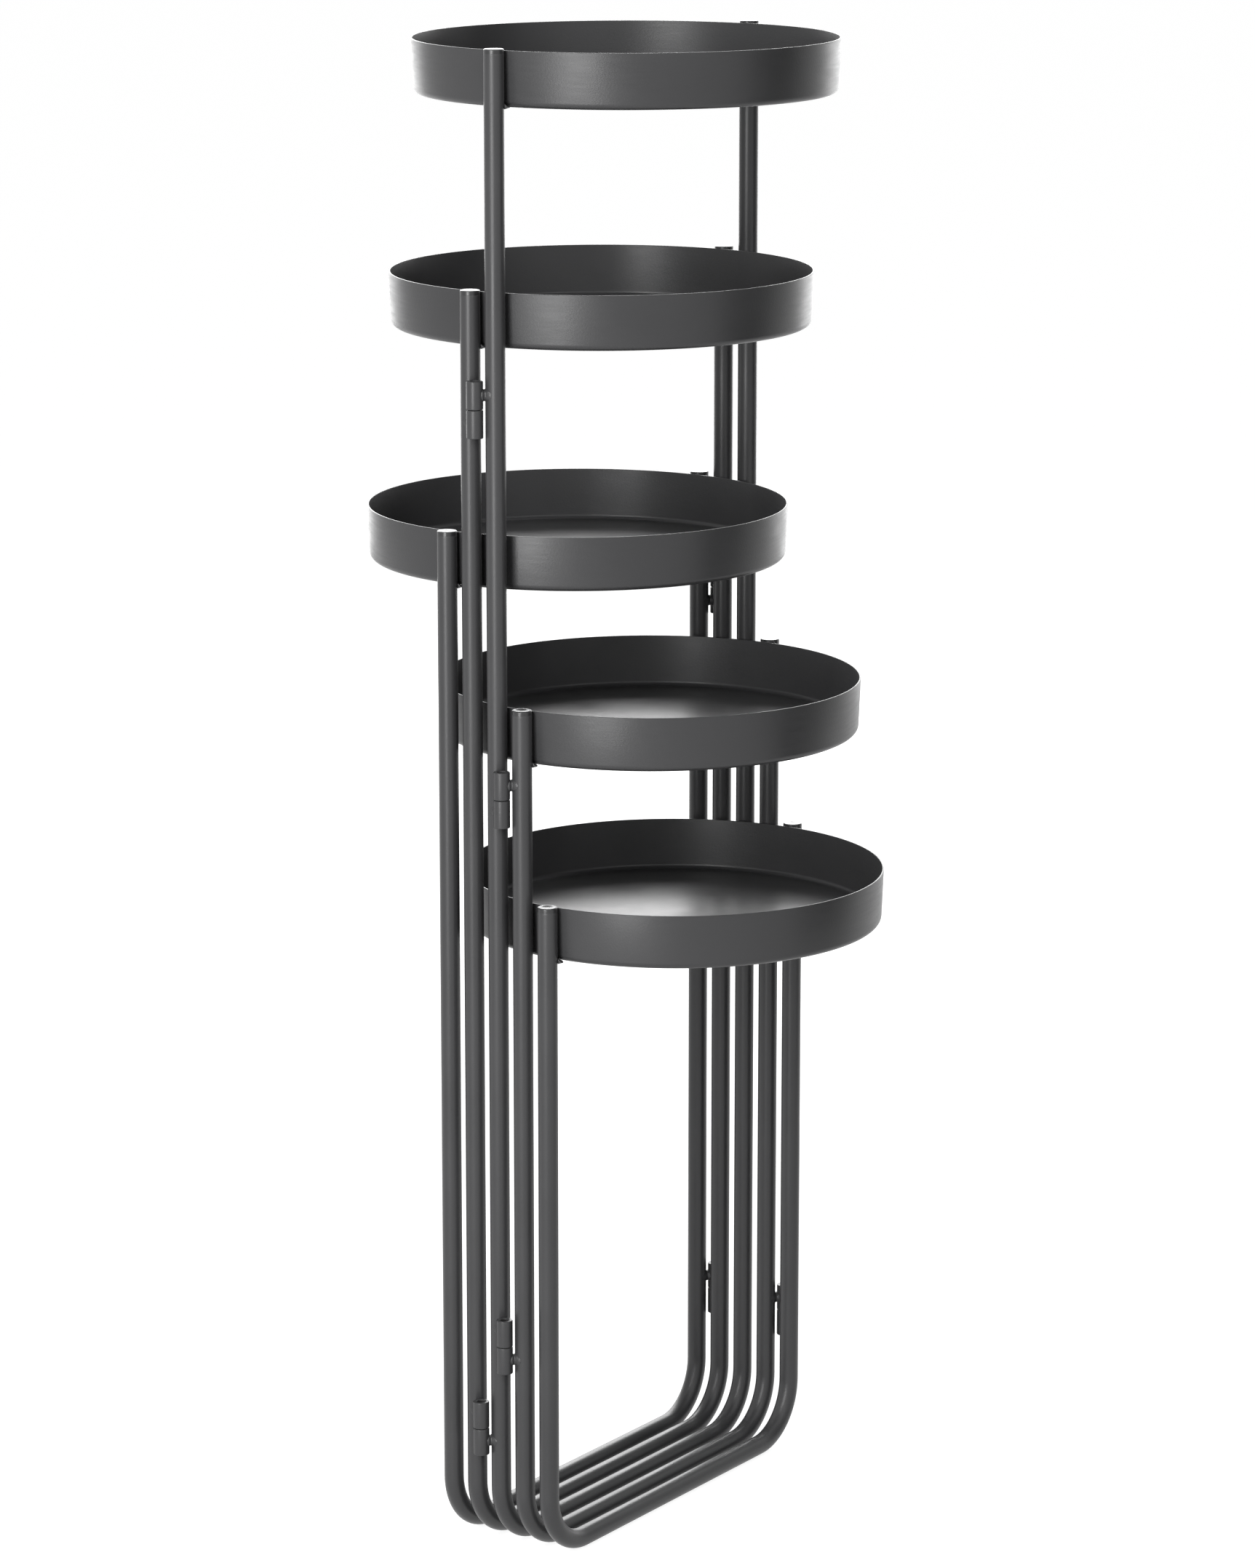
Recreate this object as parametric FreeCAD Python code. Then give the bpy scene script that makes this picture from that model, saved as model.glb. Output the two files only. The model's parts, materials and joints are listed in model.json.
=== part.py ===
import FreeCAD, Part
import math
import os
from dataclasses import dataclass

from FreeCAD import Vector

# Folding tiered plant stand: five nested U-shaped tube frames joined by weld-on barrel
# hinges, each carrying one round pressed tray between its uprights.
#
# Own frame, millimetres: +Z up, floor at z = 0, the frames stacked along X (left to right),
# each frame lying in a plane of constant X with its front upright at -Y and its back upright
# at +Y.  The origin is on the floor under the middle frame.  The stand is drawn folded.

# ---- round tube of the frames ----
TUBE_DIAMETER = 12.0
TUBE_WALL = 1.2
BEND_RADIUS = 36.0            # centreline radius of the two floor bends
FOLD_GAP = 6.0                # clear gap between neighbouring tubes when folded

# ---- heights of the frames, floor to the top of the plug caps ----
OUTER_LEFT_HEIGHT = 633.0
INNER_LEFT_HEIGHT = 777.5
CENTRE_HEIGHT = 918.5
INNER_RIGHT_HEIGHT = 530.5
OUTER_RIGHT_HEIGHT = 413.0

# ---- pressed round tray ----
TRAY_DIAMETER = 258.0         # outside, at the rim
TRAY_DEPTH = 33.0             # outside, rim to underside
TRAY_SHEET = 1.0
TRAY_DRAFT = 1.3              # how far the wall leans in from the rim to the underside
TRAY_CORNER_RADIUS = 4.0      # outside radius between wall and floor
TRAY_RIM_ROUND = 0.35         # broken edges of the rim
TRAY_SIDE_GAP = 0.1           # between the rim and an upright
TRAY_WELD_LEG = 4.0           # leg of the weld fillet under the tray, on the upright
TRAY_WELD_RISE = 0.6          # middle of that fillet above the underside
TRAY_WELD_WRAP = 3.5          # how far the fillet wraps round the upright

# ---- plug cap in each tube end ----
CAP_HEAD = 2.6
CAP_EDGE_ROUND = 1.1
CAP_DISH_DIAMETER = 7.0
CAP_DISH_DEPTH = 0.25
CAP_STEM = 12.0
CAP_STEM_LEAD = 0.8
CAP_FIT_CLEARANCE = 0.05      # radial, stem in tube
CAP_RISE = 1.3                # top of the cap above the tray rim

# ---- weld-on barrel hinge ----
KNUCKLE_DIAMETER = 10.0
KNUCKLE_LENGTH = 16.8
KNUCKLE_SEAM = 0.3            # running gap between the two knuckles
KNUCKLE_CHAMFER = 0.6
PIN_DIAMETER = 5.0
PIN_RUNNING_CLEARANCE = 0.05  # radial, in the upper knuckle
PIN_RECESS = 0.8              # pin ends below the knuckle ends
PIN_CHAMFER = 0.5
NECK_GAP = 1.3                # tube wall to knuckle, bridged by the weld neck
NECK_WAIST_DIAMETER = 6.4
NECK_FLARE = 0.9              # radius with which the neck flares into tube and knuckle

# ---- seams of the top hinges, below the cap top of the lower frame of each pair ----
LEFT_FRONT_TOP_DROP = 69.0
RIGHT_FRONT_TOP_DROP = 54.0
LEFT_BACK_TOP_DROP = 75.0
RIGHT_BACK_TOP_DROP = 68.0

# ---- seams of the foot hinges, above the floor ----
LEFT_FRONT_FOOT_SEAM = 80.5
RIGHT_FRONT_FOOT_SEAM = 136.0
LEFT_BACK_FOOT_SEAM = 89.5
RIGHT_BACK_FOOT_SEAM = 84.5

# ---- sizes that follow from the ones above ----
TUBE_RADIUS = TUBE_DIAMETER / 2
BORE_RADIUS = TUBE_RADIUS - TUBE_WALL
TRAY_RADIUS = TRAY_DIAMETER / 2
KNUCKLE_RADIUS = KNUCKLE_DIAMETER / 2
PIN_RADIUS = PIN_DIAMETER / 2
FOLD_PITCH = TUBE_DIAMETER + FOLD_GAP
UPRIGHT_OFFSET = TRAY_RADIUS + TRAY_SIDE_GAP + TUBE_RADIUS
HINGE_REACH = TUBE_RADIUS + NECK_GAP + KNUCKLE_RADIUS
HINGE_OFFSET = UPRIGHT_OFFSET + math.sqrt(HINGE_REACH**2 - (FOLD_PITCH / 2) ** 2)

UP = Vector(0, 0, 1)
ALONG_Y = Vector(0, 1, 0)
FRONT, BACK = -1, 1
FULL_TURN = 360


@dataclass(frozen=True)
class Frame:
    """One U-shaped frame: its name, its place in the stack and its height."""

    name: str
    place: int
    height: float

    @property
    def x(self):
        return self.place * FOLD_PITCH

    @property
    def tube_end(self):
        return self.height - CAP_HEAD

    @property
    def tray_rim(self):
        return self.height - CAP_RISE

    @property
    def tray_underside(self):
        return self.tray_rim - TRAY_DEPTH

    def upright(self, side, z=0.0):
        """Point on the centreline of the front or back upright."""
        return Vector(self.x, side * UPRIGHT_OFFSET, z)


@dataclass(frozen=True)
class Hinge:
    """One barrel hinge between two neighbouring frames."""

    name: str
    left: Frame
    right: Frame
    side: int
    seam: float
    upper_on_right: bool

    @property
    def upper_frame(self):
        return self.right if self.upper_on_right else self.left

    @property
    def lower_frame(self):
        return self.left if self.upper_on_right else self.right

    def axis(self, z=0.0):
        """Point on the pin's axis, midway between the two frames."""
        return Vector((self.left.x + self.right.x) / 2, self.side * HINGE_OFFSET, z)

    def knuckle_base(self, upper):
        """Height of the lower end of one knuckle."""
        if upper:
            return self.seam + KNUCKLE_SEAM / 2
        return self.seam - KNUCKLE_SEAM / 2 - KNUCKLE_LENGTH


def top_hinge(pair, left, right, side, drop):
    """Hinge below the lower tray of a pair, its upper knuckle on the right frame."""
    seam = min(left.height, right.height) - drop
    return Hinge(f"{pair}_top", left, right, side, seam, upper_on_right=True)


def foot_hinge(pair, left, right, side, seam):
    """Hinge above the floor bends, its upper knuckle on the left frame."""
    return Hinge(f"{pair}_foot", left, right, side, seam, upper_on_right=False)


def edges_at(shape, z, radius):
    """Circular edges of a shape at one height with one radius."""
    return [
        edge
        for edge in shape.Edges
        if isinstance(edge.Curve, Part.Circle)
        and abs(edge.Curve.Center.z - z) < 1e-6
        and abs(edge.Curve.Radius - radius) < 1e-6
    ]


def u_tube(frame, radius):
    """Solid bar of one radius along the frame's U-shaped centreline."""
    floor = TUBE_RADIUS
    corner = UPRIGHT_OFFSET - BEND_RADIUS
    mid = BEND_RADIUS * math.sin(math.radians(45))
    x = frame.x

    def bend(side):
        centre = Vector(x, side * corner, floor + BEND_RADIUS)
        upright_end = centre + Vector(0, side * BEND_RADIUS, 0)
        middle = centre + Vector(0, side * mid, -mid)
        run_end = centre + Vector(0, 0, -BEND_RADIUS)
        return upright_end, middle, run_end

    front_up, front_mid, front_run = bend(FRONT)
    back_up, back_mid, back_run = bend(BACK)
    path = Part.Wire(
        [
            Part.makeLine(frame.upright(FRONT, frame.tube_end), front_up),
            Part.Arc(front_up, front_mid, front_run).toShape(),
            Part.makeLine(front_run, back_run),
            Part.Arc(back_run, back_mid, back_up).toShape(),
            Part.makeLine(back_up, frame.upright(BACK, frame.tube_end)),
        ]
    )
    start = frame.upright(FRONT, frame.tube_end)
    section = Part.Wire([Part.makeCircle(radius, start, UP)])
    return path.makePipeShell([section], True, False)


def bent_tube(frame):
    """Hollow bent tube: both ends open for the plug caps."""
    return u_tube(frame, TUBE_RADIUS).cut(u_tube(frame, BORE_RADIUS))


def tray_blank(frame):
    """Filled outside form of the tray, before it is hollowed."""
    blank = Part.makeCone(
        TRAY_RADIUS - TRAY_DRAFT,
        TRAY_RADIUS,
        TRAY_DEPTH,
        Vector(frame.x, 0, frame.tray_underside),
        UP,
    )
    corner = edges_at(blank, frame.tray_underside, TRAY_RADIUS - TRAY_DRAFT)
    return blank.makeFillet(TRAY_CORNER_RADIUS, corner)


def tray(frame):
    """Pressed sheet tray: drafted wall, rounded floor corner, open top, broken rim."""
    blank = tray_blank(frame)
    top = max(blank.Faces, key=lambda face: face.CenterOfMass.z)
    pressed = blank.makeThickness([top], -TRAY_SHEET, 1e-3)
    rim = [
        edge
        for edge in pressed.Edges
        if isinstance(edge.Curve, Part.Circle)
        and abs(edge.Curve.Center.z - frame.tray_rim) < 1e-6
    ]
    return pressed.makeFillet(TRAY_RIM_ROUND, rim)


def tray_weld(frame, side):
    """Concave weld fillet between a tray's lower corner and its upright."""
    middle = frame.tray_underside + TRAY_WELD_RISE
    root = TUBE_RADIUS - TUBE_WALL / 2
    toe = TUBE_RADIUS + TRAY_WELD_LEG
    sag = TRAY_WELD_LEG * (1 - math.sin(math.radians(45)))

    def point(radius, z):
        return frame.upright(side, z) + Vector(radius, 0, 0)

    low, high, tip = (
        point(root, middle - TRAY_WELD_LEG),
        point(root, middle + TRAY_WELD_LEG),
        point(toe, middle),
    )
    low_mid = point(TUBE_RADIUS + sag, middle - sag)
    high_mid = point(TUBE_RADIUS + sag, middle + sag)
    profile = Part.Face(
        Part.Wire(
            [
                Part.Arc(low, low_mid, tip).toShape(),
                Part.Arc(tip, high_mid, high).toShape(),
                Part.makeLine(high, low),
            ]
        )
    )
    ring = profile.revolve(frame.upright(side), UP, FULL_TURN)
    inner_edge = UPRIGHT_OFFSET - TUBE_RADIUS + TRAY_WELD_WRAP
    tray_side = Part.makeBox(
        2 * toe,
        inner_edge,
        4 * TRAY_WELD_LEG,
        Vector(frame.x - toe, min(0, side * inner_edge), middle - 2 * TRAY_WELD_LEG),
    )
    upright = Part.makeCylinder(
        TUBE_RADIUS, frame.tube_end, frame.upright(side), UP
    )
    return ring.common(tray_side).cut(upright).cut(tray_blank(frame))


def plug_cap(frame, side):
    """Push-in cap: rounded head on the tube's end, shallow dish on top, stem in the bore."""
    top = frame.height
    head = Part.makeCylinder(TUBE_RADIUS, CAP_HEAD, frame.upright(side, frame.tube_end), UP)
    head = head.makeFillet(CAP_EDGE_ROUND, edges_at(head, top, TUBE_RADIUS))
    dish = Part.makeCylinder(
        CAP_DISH_DIAMETER / 2,
        CAP_DISH_DEPTH,
        frame.upright(side, top - CAP_DISH_DEPTH),
        UP,
    )
    stem_radius = BORE_RADIUS - CAP_FIT_CLEARANCE
    stem_base = frame.tube_end - CAP_STEM
    stem = Part.makeCylinder(stem_radius, CAP_STEM, frame.upright(side, stem_base), UP)
    stem = stem.makeChamfer(CAP_STEM_LEAD, edges_at(stem, stem_base, stem_radius))
    return head.cut(dish).fuse(stem)


def knuckle(hinge, upper):
    """Half of a hinge barrel, bored for the pin and chamfered at both ends."""
    base = hinge.knuckle_base(upper)
    barrel = Part.makeCylinder(KNUCKLE_RADIUS, KNUCKLE_LENGTH, hinge.axis(base), UP)
    rims = edges_at(barrel, base, KNUCKLE_RADIUS)
    rims += edges_at(barrel, base + KNUCKLE_LENGTH, KNUCKLE_RADIUS)
    barrel = barrel.makeChamfer(KNUCKLE_CHAMFER, rims)
    bore_radius = PIN_RADIUS + (PIN_RUNNING_CLEARANCE if upper else 0)
    return barrel.cut(
        Part.makeCylinder(bore_radius, KNUCKLE_LENGTH, hinge.axis(base), UP)
    )


def pin(hinge):
    """Hinge pin: pressed into the lower knuckle, running in the upper one."""
    base = hinge.knuckle_base(upper=False) + PIN_RECESS
    length = 2 * (KNUCKLE_LENGTH - PIN_RECESS) + KNUCKLE_SEAM
    rod = Part.makeCylinder(PIN_RADIUS, length, hinge.axis(base), UP)
    ends = edges_at(rod, base, PIN_RADIUS) + edges_at(rod, base + length, PIN_RADIUS)
    return rod.makeChamfer(PIN_CHAMFER, ends)


def weld_neck(hinge, upper):
    """Waisted weld neck that carries one knuckle on its upright, saddle-cut at both ends."""
    frame = hinge.upper_frame if upper else hinge.lower_frame
    middle = hinge.knuckle_base(upper) + KNUCKLE_LENGTH / 2
    start = frame.upright(hinge.side, middle)
    end = hinge.axis(middle)
    along = (end - start).normalize()
    bar_radius = NECK_WAIST_DIAMETER / 2 + NECK_FLARE
    bar = Part.makeCylinder(bar_radius, HINGE_REACH, start, along)
    waist = start + along * (TUBE_RADIUS + NECK_GAP / 2)
    groove = Part.makeTorus(bar_radius, NECK_FLARE, waist, along)
    upright = Part.makeCylinder(TUBE_RADIUS, frame.tube_end, frame.upright(hinge.side), UP)
    barrel = Part.makeCylinder(
        KNUCKLE_RADIUS, KNUCKLE_LENGTH, hinge.axis(hinge.knuckle_base(upper)), UP
    )
    return bar.cut(groove).cut(upright).cut(barrel)


def build():
    """All nodes of the stand, by name."""
    outer_left = Frame("outer_left", -2, OUTER_LEFT_HEIGHT)
    inner_left = Frame("inner_left", -1, INNER_LEFT_HEIGHT)
    centre = Frame("centre", 0, CENTRE_HEIGHT)
    inner_right = Frame("inner_right", 1, INNER_RIGHT_HEIGHT)
    outer_right = Frame("outer_right", 2, OUTER_RIGHT_HEIGHT)
    frames = [outer_left, inner_left, centre, inner_right, outer_right]

    left_front = ("left_front", inner_left, centre, FRONT)
    right_front = ("right_front", centre, inner_right, FRONT)
    left_back = ("left_back", outer_left, inner_left, BACK)
    right_back = ("right_back", inner_right, outer_right, BACK)
    hinges = [
        top_hinge(*left_front, LEFT_FRONT_TOP_DROP),
        foot_hinge(*left_front, LEFT_FRONT_FOOT_SEAM),
        top_hinge(*right_front, RIGHT_FRONT_TOP_DROP),
        foot_hinge(*right_front, RIGHT_FRONT_FOOT_SEAM),
        top_hinge(*left_back, LEFT_BACK_TOP_DROP),
        foot_hinge(*left_back, LEFT_BACK_FOOT_SEAM),
        top_hinge(*right_back, RIGHT_BACK_TOP_DROP),
        foot_hinge(*right_back, RIGHT_BACK_FOOT_SEAM),
    ]

    nodes = {}
    necks = {frame.name: [] for frame in frames}
    for hinge in hinges:
        nodes[f"hinge_{hinge.name}_upper_knuckle"] = knuckle(hinge, upper=True)
        nodes[f"hinge_{hinge.name}_lower_knuckle"] = knuckle(hinge, upper=False)
        nodes[f"hinge_{hinge.name}_pin"] = pin(hinge)
        necks[hinge.upper_frame.name].append(weld_neck(hinge, upper=True))
        necks[hinge.lower_frame.name].append(weld_neck(hinge, upper=False))
    for frame in frames:
        nodes[f"tube_frame_{frame.name}"] = bent_tube(frame)
        nodes[f"tray_{frame.name}"] = tray(frame)
        nodes[f"tray_welds_{frame.name}"] = Part.makeCompound(
            [tray_weld(frame, side) for side in (FRONT, BACK)]
        )
        nodes[f"hinge_welds_{frame.name}"] = Part.makeCompound(necks[frame.name])
        nodes[f"plug_cap_{frame.name}_front"] = plug_cap(frame, FRONT)
        nodes[f"plug_cap_{frame.name}_back"] = plug_cap(frame, BACK)
    return nodes


def main():
    os.makedirs("parts", exist_ok=True)
    for name, shape in build().items():
        shape.exportStep(f"parts/{name}.step")
        print(f"{name}: {len(shape.Solids)} solid(s), {shape.Volume:.1f} mm3, valid {shape.isValid()}")


main()
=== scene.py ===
"""Looks of a folding tiered plant stand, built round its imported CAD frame.

Five U-shaped tube frames stand folded side by side on barrel hinges, and each carries one round
pressed tray at its top.  Every piece takes its place from the CAD node that it stands for.
"""

import json
import logging
import math
from dataclasses import dataclass, field
from enum import Enum
from typing import Any

import bmesh
import bpy
from mathutils import Euler, Matrix, Vector


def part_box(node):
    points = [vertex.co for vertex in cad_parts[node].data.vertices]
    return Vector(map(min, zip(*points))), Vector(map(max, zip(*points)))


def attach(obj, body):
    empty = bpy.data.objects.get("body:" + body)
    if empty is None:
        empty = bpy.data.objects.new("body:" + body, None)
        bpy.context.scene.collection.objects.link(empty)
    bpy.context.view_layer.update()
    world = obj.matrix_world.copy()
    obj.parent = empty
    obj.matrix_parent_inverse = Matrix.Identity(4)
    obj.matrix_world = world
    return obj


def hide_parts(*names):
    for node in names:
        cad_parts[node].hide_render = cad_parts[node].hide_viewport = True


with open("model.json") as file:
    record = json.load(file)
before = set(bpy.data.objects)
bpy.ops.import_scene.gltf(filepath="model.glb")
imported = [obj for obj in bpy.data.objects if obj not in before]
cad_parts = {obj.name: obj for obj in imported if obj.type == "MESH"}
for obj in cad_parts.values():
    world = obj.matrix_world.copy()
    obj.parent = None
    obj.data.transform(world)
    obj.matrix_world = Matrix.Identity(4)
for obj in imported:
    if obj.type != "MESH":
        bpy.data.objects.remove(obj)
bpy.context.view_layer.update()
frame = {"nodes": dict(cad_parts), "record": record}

log = logging.getLogger("plant_stand")

MM = 0.001
PHOTO_WIDTH, PHOTO_HEIGHT = 1725, 2156
SHARP_DEGREES = 32.0  # edges that turn by more than this stay sharp
ON_AXIS = 1e-9  # metres from the axis of a turned piece that still count as on it

Pair = tuple[float, float]


class Frame(Enum):
    """The five tube frames, from the left of the stack to the right."""

    OUTER_LEFT = "outer_left"
    INNER_LEFT = "inner_left"
    CENTRE = "centre"
    INNER_RIGHT = "inner_right"
    OUTER_RIGHT = "outer_right"

    @property
    def body(self) -> str:
        """Name of the moving body that the frame's pieces ride on."""
        return f"{self.value}_frame"


class Side(Enum):
    """The two uprights of a frame."""

    FRONT = "front"
    BACK = "back"


class Weld(Enum):
    """The two kinds of weld bead."""

    TRAY = "tray_welds"
    HINGE = "hinge_welds"


class Slot(Enum):
    """Material slots of the record."""

    TUBE = "powder_coated_tube"
    SHEET = "powder_coated_sheet"
    WELD = "powder_coated_weld"
    PLASTIC = "black_plastic"
    PIN = "steel_pin"


# ---------------------------------------------------------------- colours and node trees


def linear(colour: str) -> tuple[float, float, float, float]:
    """Turn an sRGB hex colour into linear RGBA.

    Args:
        colour: Six hex digits after a hash sign.

    Returns:
        Linear red, green and blue with an alpha of one.
    """
    channels = [int(colour[i : i + 2], 16) / 255 for i in (1, 3, 5)]
    red, green, blue = (
        c / 12.92 if c <= 0.04045 else ((c + 0.055) / 1.055) ** 2.4 for c in channels
    )
    return red, green, blue, 1.0


def per_metre(millimetres: float) -> float:
    """Texture scale, in repeats per metre, of a pattern with that spacing."""
    return 1 / (millimetres * MM)


def add_node(
    tree: bpy.types.NodeTree, kind: str, inputs: dict[Any, Any] | None = None, **settings: Any
) -> bpy.types.Node:
    """Add one node with its settings and links.

    Args:
        tree: Shader or geometry node tree.
        kind: Identifier of the node type.
        inputs: Values, or output sockets to link, by input name or index.
        **settings: Properties of the node itself.

    Returns:
        The new node.
    """
    node = tree.nodes.new(kind)
    for name, value in settings.items():
        setattr(node, name, value)
    for key, value in (inputs or {}).items():
        if isinstance(value, bpy.types.NodeSocket):
            tree.links.new(value, node.inputs[key])
        else:
            node.inputs[key].default_value = value
    return node


def new_material(name: str) -> tuple[bpy.types.Material, bpy.types.NodeTree]:
    """Make a material with an empty node tree.

    Args:
        name: Name of the real finish.

    Returns:
        The material and its tree.
    """
    material = bpy.data.materials.new(name)
    material.use_nodes = True
    material.node_tree.nodes.clear()
    return material, material.node_tree


# ---------------------------------------------------------------- finishes


@dataclass(frozen=True)
class PowderCoat:
    """Satin polyester powder coat, sprayed dry and baked on steel.

    The melt flows out into a fine orange peel, which breaks up highlights into a soft grain;
    the film is a little thicker in places, which shows as a slow change of gloss and tone.  On
    sheet, the draw marks under the film show as faint bands of gloss that run round the wall.
    Lengths are in millimetres; streak_height is the bands' spacing up the wall.
    """

    name: str
    deep: str = "#353536"
    pale: str = "#3b3b3c"
    roughness: Pair = (0.32, 0.4)
    specular: float = 0.35
    peel_spacing: float = 1.1  # real orange peel is nearer 0.8 mm, too fine to show here
    peel_height: float = 0.04
    cloud_spacing: float = 38.0
    cloud_range: Pair = (0.3, 0.7)  # the noise seldom leaves it
    streak_length: float = 16.0
    streak_height: float = 16.0
    streak_gloss: float = 0.0

    def material(self) -> bpy.types.Material:
        """Build the node material.

        Returns:
            The finished material.
        """
        material, tree = new_material(self.name)
        place = add_node(tree, "ShaderNodeTexCoord").outputs["Object"]
        cloud = add_node(
            tree,
            "ShaderNodeTexNoise",
            {"Vector": place, "Scale": per_metre(self.cloud_spacing), "Detail": 2.0},
        )
        peel = add_node(
            tree,
            "ShaderNodeTexNoise",
            {"Vector": place, "Scale": per_metre(self.peel_spacing), "Detail": 1.5},
        )
        tone = add_node(
            tree,
            "ShaderNodeMix",
            {
                "Factor": cloud.outputs["Fac"],
                "A": linear(self.deep),
                "B": linear(self.pale),
            },
            data_type="RGBA",
        )
        gloss = add_node(
            tree,
            "ShaderNodeMapRange",
            {
                "Value": cloud.outputs["Fac"],
                "From Min": self.cloud_range[0],
                "From Max": self.cloud_range[1],
                "To Min": self.roughness[0],
                "To Max": self.roughness[1],
            },
        )
        stretched = add_node(
            tree,
            "ShaderNodeMapping",
            {"Vector": place, "Scale": (1.0, 1.0, self.streak_length / self.streak_height)},
        )
        streaks = add_node(
            tree,
            "ShaderNodeTexNoise",
            {
                "Vector": stretched.outputs["Vector"],
                "Scale": per_metre(self.streak_length),
                "Detail": 3.0,
            },
        )
        centred = add_node(
            tree, "ShaderNodeMath", {0: streaks.outputs["Fac"], 1: 0.5}, operation="SUBTRACT"
        )
        drawn = add_node(
            tree,
            "ShaderNodeMath",
            {0: centred.outputs[0], 1: self.streak_gloss, 2: gloss.outputs["Result"]},
            operation="MULTIPLY_ADD",
        )
        bump = add_node(
            tree,
            "ShaderNodeBump",
            {"Height": peel.outputs["Fac"], "Distance": self.peel_height * MM, "Strength": 1.0},
        )
        shader = add_node(
            tree,
            "ShaderNodeBsdfPrincipled",
            {
                "Base Color": tone.outputs["Result"],
                "Roughness": drawn.outputs[0],
                "Specular IOR Level": self.specular,
                "Normal": bump.outputs["Normal"],
            },
        )
        add_node(tree, "ShaderNodeOutputMaterial", {"Surface": shader.outputs["BSDF"]})
        return material


@dataclass(frozen=True)
class MouldedPlastic:
    """Injection-moulded polyethylene of the plug caps.

    The tool is lightly spark-eroded, so the skin is satin with a very fine grain, and the low
    gloss turns pale where it is seen at a shallow angle.
    """

    name: str = "moulded polyethylene"
    deep: str = "#262627"
    pale: str = "#2d2d2e"
    roughness: float = 0.3
    refraction: float = 1.51
    grain_spacing: float = 0.9  # spark-eroded grain is nearer 0.1 mm, too fine to show here
    grain_height: float = 0.003

    def material(self) -> bpy.types.Material:
        """Build the node material.

        Returns:
            The finished material.
        """
        material, tree = new_material(self.name)
        place = add_node(tree, "ShaderNodeTexCoord").outputs["Object"]
        grain = add_node(
            tree,
            "ShaderNodeTexNoise",
            {"Vector": place, "Scale": per_metre(self.grain_spacing), "Detail": 2.0},
        )
        tone = add_node(
            tree,
            "ShaderNodeMix",
            {"Factor": grain.outputs["Fac"], "A": linear(self.deep), "B": linear(self.pale)},
            data_type="RGBA",
        )
        bump = add_node(
            tree,
            "ShaderNodeBump",
            {"Height": grain.outputs["Fac"], "Distance": self.grain_height * MM},
        )
        shader = add_node(
            tree,
            "ShaderNodeBsdfPrincipled",
            {
                "Base Color": tone.outputs["Result"],
                "Roughness": self.roughness,
                "IOR": self.refraction,
                "Normal": bump.outputs["Normal"],
            },
        )
        add_node(tree, "ShaderNodeOutputMaterial", {"Surface": shader.outputs["BSDF"]})
        return material


@dataclass(frozen=True)
class DrawnSteel:
    """Cold-drawn mild steel of the hinge pins.

    Drawing leaves fine lines along the pin; a film of oil and dust dulls it to a dark grey.
    """

    name: str = "cold-drawn steel"
    deep: str = "#343332"
    pale: str = "#565451"
    roughness: Pair = (0.32, 0.5)
    line_spacing: float = 0.35
    line_stretch: float = 14.0

    def material(self) -> bpy.types.Material:
        """Build the node material.

        Returns:
            The finished material.
        """
        material, tree = new_material(self.name)
        place = add_node(tree, "ShaderNodeTexCoord").outputs["Object"]
        stretched = add_node(
            tree,
            "ShaderNodeMapping",
            {"Vector": place, "Scale": (1.0, 1.0, 1 / self.line_stretch)},
        )
        lines = add_node(
            tree,
            "ShaderNodeTexNoise",
            {
                "Vector": stretched.outputs["Vector"],
                "Scale": per_metre(self.line_spacing),
                "Detail": 2.0,
            },
        )
        tone = add_node(
            tree,
            "ShaderNodeMix",
            {"Factor": lines.outputs["Fac"], "A": linear(self.deep), "B": linear(self.pale)},
            data_type="RGBA",
        )
        gloss = add_node(
            tree,
            "ShaderNodeMapRange",
            {
                "Value": lines.outputs["Fac"],
                "To Min": self.roughness[0],
                "To Max": self.roughness[1],
            },
        )
        shader = add_node(
            tree,
            "ShaderNodeBsdfPrincipled",
            {
                "Base Color": tone.outputs["Result"],
                "Roughness": gloss.outputs["Result"],
                "Metallic": 1.0,
            },
        )
        add_node(tree, "ShaderNodeOutputMaterial", {"Surface": shader.outputs["BSDF"]})
        return material


def finishes() -> dict[Slot, bpy.types.Material]:
    """Make the material of every slot.

    Returns:
        Material by slot.
    """
    return {
        Slot.TUBE: PowderCoat(
            "powder-coated round tube", deep="#373738", pale="#3e3e3f"
        ).material(),
        Slot.SHEET: PowderCoat(
            "powder-coated pressed sheet",
            cloud_spacing=60.0,
            streak_length=20.0,
            streak_height=1.6,
            streak_gloss=0.14,
        ).material(),
        Slot.WELD: PowderCoat(
            "powder-coated weld bead", peel_spacing=0.9, peel_height=0.012
        ).material(),
        Slot.PLASTIC: MouldedPlastic().material(),
        Slot.PIN: DrawnSteel().material(),
    }


# ---------------------------------------------------------------- mesh helpers


def link_object(name: str, data: bpy.types.ID) -> bpy.types.Object:
    """Put a new object into the scene.

    Args:
        name: Name of the object.
        data: Its mesh, lamp or camera.

    Returns:
        The object, at the origin.
    """
    thing = bpy.data.objects.new(name, data)
    bpy.context.scene.collection.objects.link(thing)
    return thing


def smooth(mesh: bpy.types.Mesh) -> None:
    """Shade a mesh smooth, all but its sharp edges."""
    mesh.shade_smooth()
    mesh.set_sharp_from_angle(angle=math.radians(SHARP_DEGREES))


def arc(centre: Pair, radius: float, start: float, end: float, steps: int) -> list[Pair]:
    """Points along a circular arc of a profile.

    Args:
        centre: Centre as distance from the axis and height.
        radius: Radius of the arc.
        start: First angle in degrees, from the outward direction towards up.
        end: Last angle in degrees.
        steps: Number of segments.

    Returns:
        Points from start to end.
    """
    angles = [math.radians(start + (end - start) * i / steps) for i in range(steps + 1)]
    return [
        (centre[0] + radius * math.cos(a), centre[1] + radius * math.sin(a)) for a in angles
    ]


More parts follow.
